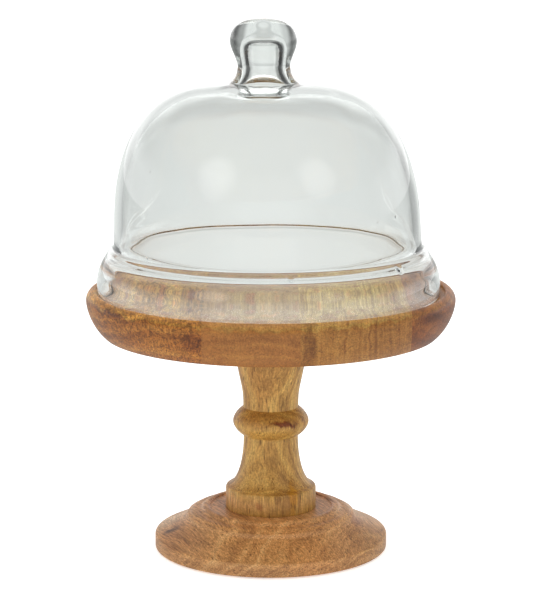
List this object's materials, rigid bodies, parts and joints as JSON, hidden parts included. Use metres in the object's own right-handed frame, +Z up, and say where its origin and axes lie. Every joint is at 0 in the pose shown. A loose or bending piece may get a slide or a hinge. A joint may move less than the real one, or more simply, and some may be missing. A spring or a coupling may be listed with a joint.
{
  "type": "cake stand with glass dome",
  "caption": "Turned wooden pedestal cake stand with a sunk, edge-glued board plate and a blown glass dome that lifts off by its knob.",
  "frame": {"origin": "on the stand's axis, at the level of the table it stands on", "axes": "+Z up the stand's axis, through the knob; +Y runs along the plate's boards, away from the viewer; +X across them"},
  "size_m": [0.2994, 0.2994, 0.4342],
  "materials": {
    "dome_glass": "clear blown glass",
    "board_mottled": "oiled",
    "board_flat_sawn": "oiled",
    "board_quarter_sawn": "oiled",
    "board_narrow": "oiled",
    "column_wood": "oiled",
    "base_wood": "oiled",
    "insert_brass": "machined",
    "screw_steel": "zinc plated",
    "pad_felt": "felt"
  },
  "bodies": {
    "stand": {"plate_board_1": "board_mottled", "plate_board_2": "board_flat_sawn", "plate_board_3": "board_quarter_sawn", "plate_board_4": "board_narrow", "plate_insert": "insert_brass", "hanger_bolt": "screw_steel", "column": "column_wood", "base_disc": "base_wood", "base_screw": "screw_steel", "cup_washer": "screw_steel", "felt_pad_1": "pad_felt", "felt_pad_2": "pad_felt", "felt_pad_3": "pad_felt", "felt_pad_4": "pad_felt"},
    "dome": {"glass_dome": "dome_glass"}
  },
  "joints": [
    {"name": "dome_lift", "type": "slide", "parent": "stand", "child": "dome", "axis": [0, 0, 1], "range_m": [0, 0.25]}
  ]
}
